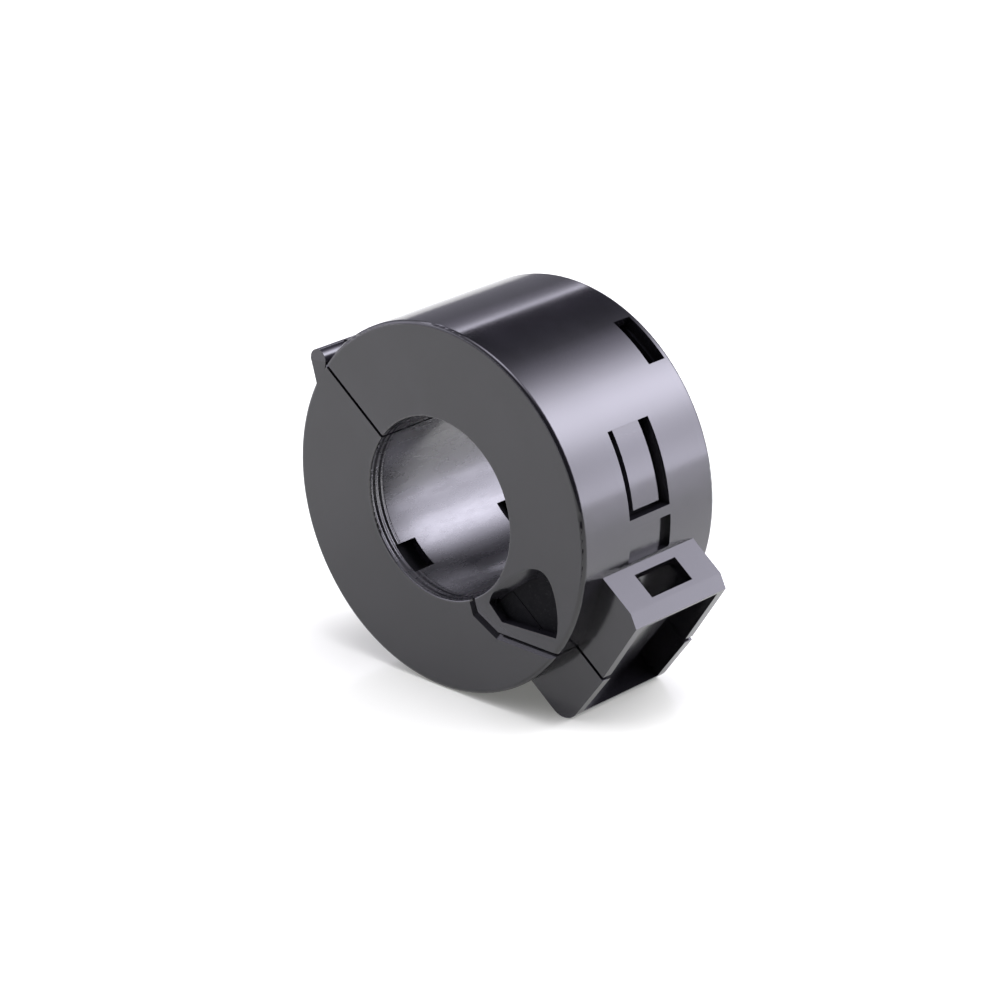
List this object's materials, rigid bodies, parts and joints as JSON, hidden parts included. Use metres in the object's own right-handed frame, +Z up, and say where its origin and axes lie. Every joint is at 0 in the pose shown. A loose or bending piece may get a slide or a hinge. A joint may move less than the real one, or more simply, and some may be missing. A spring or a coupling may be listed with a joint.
{
  "type": "clip-on ferrite bead",
  "caption": "Round hinged plastic case that snaps shut with a side latch round a split ferrite ring, leaving a bore for a cable.",
  "frame": {"origin": "centre of the cable bore at half its length", "axes": "+Y along the bore from the front end to the back, +Z up with the drum and its latch box resting on one floor, +X towards the latch"},
  "size_m": [0.045, 0.0206, 0.0406],
  "materials": {
    "case_plastic_lower": "satin charcoal",
    "case_plastic_upper": "satin charcoal",
    "ferrite_lower": "ground ceramic, dull",
    "ferrite_upper": "ground ceramic, dull"
  },
  "bodies": {
    "lower": {"lower_case": "case_plastic_lower", "lower_core": "ferrite_lower"},
    "upper": {"upper_case": "case_plastic_upper", "upper_core": "ferrite_upper"}
  },
  "joints": [
    {"name": "case_hinge", "type": "hinge", "parent": "lower", "child": "upper", "pos_m": [-0.01736, 0, 0.01235], "axis": [0, -1, 0], "range_deg": [0, 160]}
  ]
}
